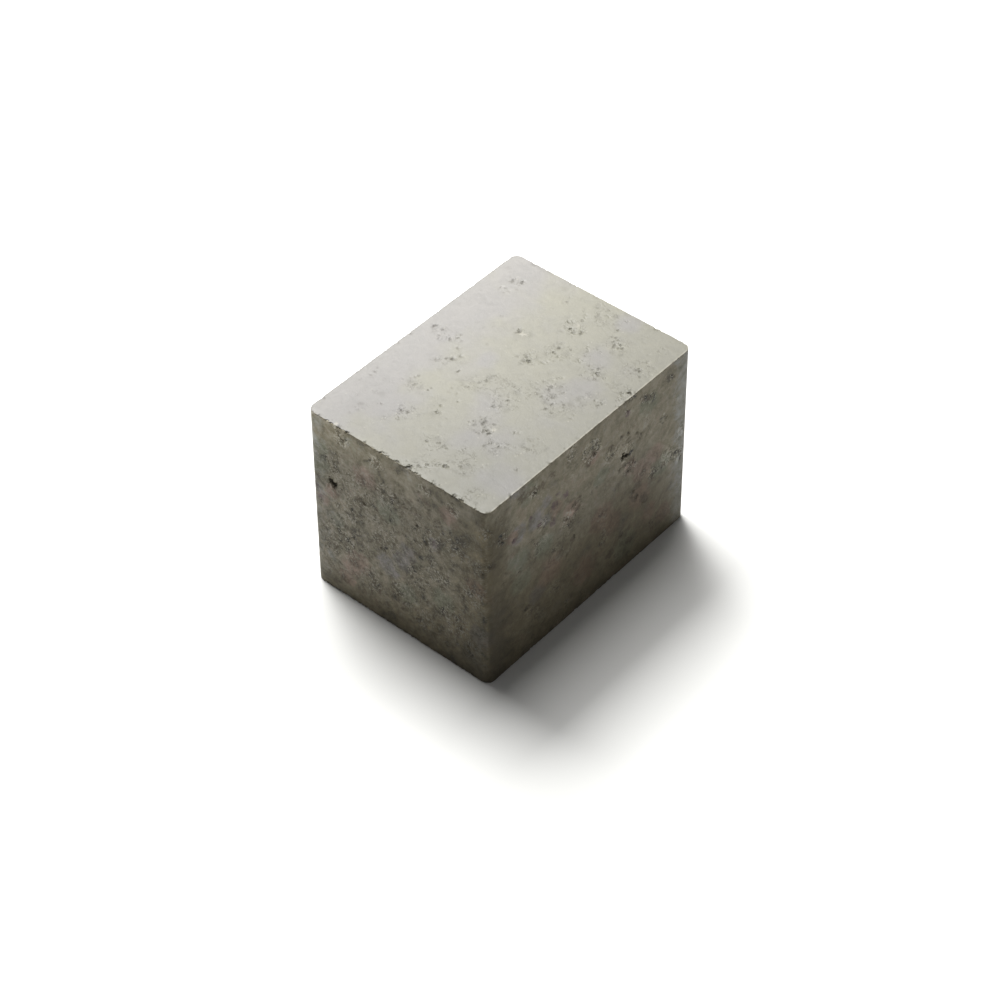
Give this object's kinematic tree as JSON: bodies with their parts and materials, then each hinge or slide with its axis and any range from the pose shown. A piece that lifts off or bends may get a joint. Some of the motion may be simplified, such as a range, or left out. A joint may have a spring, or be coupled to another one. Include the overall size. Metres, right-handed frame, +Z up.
{
  "type": "concrete block",
  "caption": "Solid wet-cast concrete block: a plain rectangular building unit with rounded upright corners and flat bed faces, for walling, edging or ballast.",
  "frame": {"origin": "centre of the lower bed face, which the block stands on", "axes": "+X along the length, +Y across the width, +Z up through the block's height"},
  "size_m": [0.19, 0.14, 0.14],
  "materials": {
    "concrete": "matt form-faced concrete with air pits and faint staining"
  },
  "bodies": {
    "root": {"concrete_block": "concrete"}
  },
  "joints": []
}
